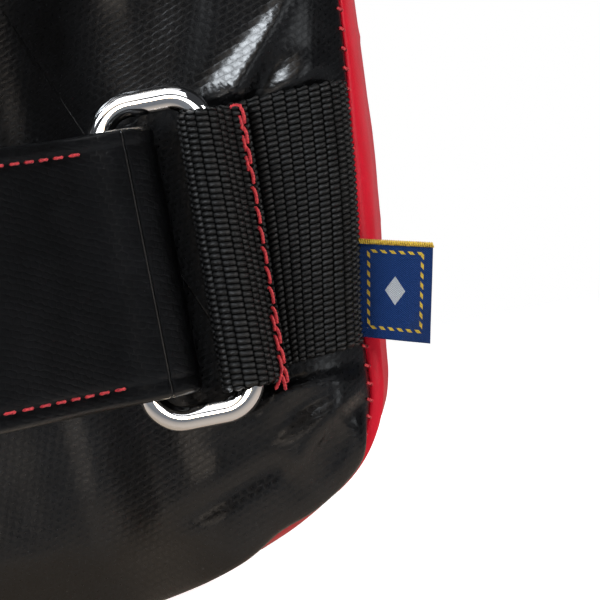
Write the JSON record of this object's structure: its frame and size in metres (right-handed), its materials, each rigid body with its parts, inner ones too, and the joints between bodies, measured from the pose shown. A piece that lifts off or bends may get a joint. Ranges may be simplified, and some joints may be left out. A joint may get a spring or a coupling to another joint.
{
  "type": "thai pad",
  "caption": "Forearm-worn kick and punch shield with padded forearm channel, ring-and-webbing straps closed by hook and loop, riveted grip handle and side tag.",
  "frame": {"origin": "middle of the small flat on the elbow end, which the pad can stand on", "axes": "+Z along the pad from the elbow end to the hand end; -Y is the forearm side with the straps and handle, +Y is the strike face; +X is the side that the ring webbings and the tag are sewn into"},
  "size_m": [0.2034, 0.15, 0.39],
  "materials": {
    "red_leather": "satin",
    "black_leather": "satin",
    "strap_leather": "satin",
    "black_webbing": "matte",
    "chrome": "polished",
    "hook_and_loop": "matte",
    "dense_foam": "matte",
    "soft_foam": "matte",
    "board": "matte",
    "tag_fabric": "matte"
  },
  "bodies": {
    "pad": {"strike_cover": "red_leather", "side_gusset": "red_leather", "back_cover": "black_leather", "strike_foam": "dense_foam", "middle_foam": "dense_foam", "rear_foam": "soft_foam", "stiffener_board": "board", "bolster_foam_left": "dense_foam", "bolster_foam_right": "dense_foam", "channel_foam": "soft_foam", "lower_ring_webbing": "black_webbing", "lower_strap_root": "strap_leather", "upper_ring_webbing": "black_webbing", "upper_strap_root": "strap_leather", "handle_anchor_left": "black_leather", "handle_anchor_right": "black_leather", "handle_rivet_1": "chrome", "handle_washer_1": "chrome", "handle_rivet_2": "chrome", "handle_washer_2": "chrome", "handle_rivet_3": "chrome", "handle_washer_3": "chrome", "handle_rivet_4": "chrome", "handle_washer_4": "chrome"},
    "lower_ring_body": {"lower_ring": "chrome"},
    "lower_strap": {"lower_strap_base": "strap_leather", "lower_loop_tape": "hook_and_loop"},
    "lower_tail": {"lower_strap_tail": "strap_leather", "lower_hook_tape": "hook_and_loop"},
    "upper_ring_body": {"upper_ring": "chrome"},
    "upper_strap": {"upper_strap_base": "strap_leather", "upper_loop_tape": "hook_and_loop"},
    "upper_tail": {"upper_strap_tail": "strap_leather", "upper_hook_tape": "hook_and_loop"},
    "handle": {"handle_webbing": "black_webbing", "handle_foam": "dense_foam", "handle_wrap": "black_leather"},
    "tag": {"side_tag": "tag_fabric"}
  },
  "joints": [
    {"name": "lower_ring_pivot", "type": "hinge", "parent": "pad", "child": "lower_ring_body", "pos_m": [0.0672, -0.0657, 0.065], "axis": [0, 0, 1], "range_deg": [0, 25]},
    {"name": "lower_strap_lift", "type": "hinge", "parent": "pad", "child": "lower_strap", "pos_m": [-0.069, -0.0655, 0.065], "axis": [0, 0, -1], "range_deg": [0, 4]},
    {"name": "lower_tail_peel", "type": "hinge", "parent": "lower_strap", "child": "lower_tail", "pos_m": [0.04877, -0.07531, 0.065], "axis": [0, 0, 1], "range_deg": [0, 115]},
    {"name": "upper_ring_pivot", "type": "hinge", "parent": "pad", "child": "upper_ring_body", "pos_m": [0.0672, -0.0657, 0.18], "axis": [0, 0, 1], "range_deg": [0, 25]},
    {"name": "upper_strap_lift", "type": "hinge", "parent": "pad", "child": "upper_strap", "pos_m": [-0.069, -0.0655, 0.18], "axis": [0, 0, -1], "range_deg": [0, 4]},
    {"name": "upper_tail_peel", "type": "hinge", "parent": "upper_strap", "child": "upper_tail", "pos_m": [0.04877, -0.07531, 0.18], "axis": [0, 0, 1], "range_deg": [0, 115]},
    {"name": "handle_pivot", "type": "hinge", "parent": "pad", "child": "handle", "pos_m": [0, -0.0624, 0.3], "axis": [1, 0, 0], "range_deg": [-15, 15], "stiffness_Nm_per_rad": 0.4},
    {"name": "tag_flap", "type": "hinge", "parent": "pad", "child": "tag", "pos_m": [0.0916, -0.0536, 0.0535], "axis": [0, 0, -1], "range_deg": [-70, 28], "stiffness_Nm_per_rad": 0.0002}
  ],
  "couplings": [
    {"joint": "lower_strap_lift", "follows": "lower_ring_pivot", "ratio": 0.148},
    {"joint": "upper_strap_lift", "follows": "upper_ring_pivot", "ratio": 0.148}
  ]
}
